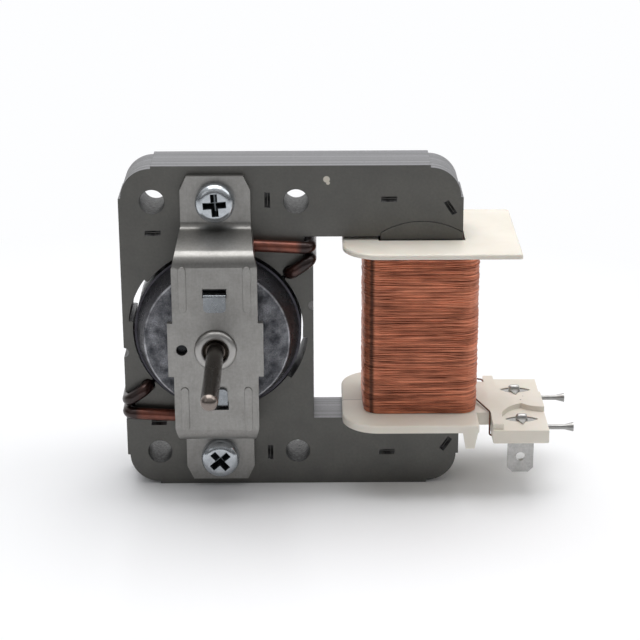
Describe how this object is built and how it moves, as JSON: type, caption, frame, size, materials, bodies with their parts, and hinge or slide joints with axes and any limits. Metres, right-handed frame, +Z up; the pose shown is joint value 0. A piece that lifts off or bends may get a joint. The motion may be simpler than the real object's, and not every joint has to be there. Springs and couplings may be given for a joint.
{
  "type": "shaded-pole ac motor",
  "caption": "Small shaded-pole AC motor: C-shaped lamination stack, coil on a moulded bobbin with tab terminals, cast squirrel-cage rotor on a slim shaft carried by strap brackets.",
  "frame": {"origin": "middle of the four mounting holes, on the front face of the lamination stack", "axes": "+X right along the stack towards the coil, +Y from the front face to the back, so the shaft points to -Y, +Z up"},
  "size_m": [0.0824, 0.0572, 0.061],
  "materials": {
    "core_steel": "bare electrical steel sheets, satin, with cut edges",
    "ring_copper": "varnished copper wire, dark brown",
    "rotor_steel": "ground steel rim, dark",
    "cast_aluminium": "mottled die casting",
    "shaft_steel": "ground steel, oiled",
    "galvanised_strip": "galvanised steel strip",
    "zinc_screws": "bright zinc plate",
    "bobbin_plastic": "cream moulded plastic",
    "coil_copper": "enamelled copper wire",
    "spacer_nylon": "natural nylon",
    "washer_steel": "polished spring steel",
    "bearing_bronze": "oiled sintered bronze",
    "oil_felt": "oil-soaked wool felt",
    "retainer_steel": "zinc-plated spring steel",
    "tinned_terminals": "tin-plated brass"
  },
  "bodies": {
    "stator": {"stator_core": "core_steel", "coil_leg": "core_steel", "upper_large_shading_ring": "ring_copper", "upper_small_shading_ring": "ring_copper", "lower_large_shading_ring": "ring_copper", "lower_small_shading_ring": "ring_copper", "front_bracket": "galvanised_strip", "rear_bracket": "galvanised_strip", "bracket_screws": "zinc_screws", "bobbin": "bobbin_plastic", "coil_core": "coil_copper", "coil_winding": "coil_copper", "front_lead": "coil_copper", "rear_lead": "coil_copper", "front_bearing": "bearing_bronze", "rear_bearing": "bearing_bronze", "front_oil_felt": "oil_felt", "rear_oil_felt": "oil_felt", "front_bearing_retainer": "retainer_steel", "rear_bearing_retainer": "retainer_steel", "front_terminal": "tinned_terminals", "rear_terminal": "tinned_terminals"},
    "rotor": {"rotor_core": "rotor_steel", "rotor_cage": "cast_aluminium", "shaft": "shaft_steel", "front_rotor_spacer": "spacer_nylon", "rear_rotor_spacer": "spacer_nylon", "front_thrust_washer": "washer_steel", "rear_thrust_washer": "washer_steel"}
  },
  "joints": [
    {"name": "rotor_spin", "type": "hinge", "parent": "stator", "child": "rotor", "pos_m": [-0.0015, 0.005, 0], "axis": [0, -1, 0], "continuous": true}
  ]
}
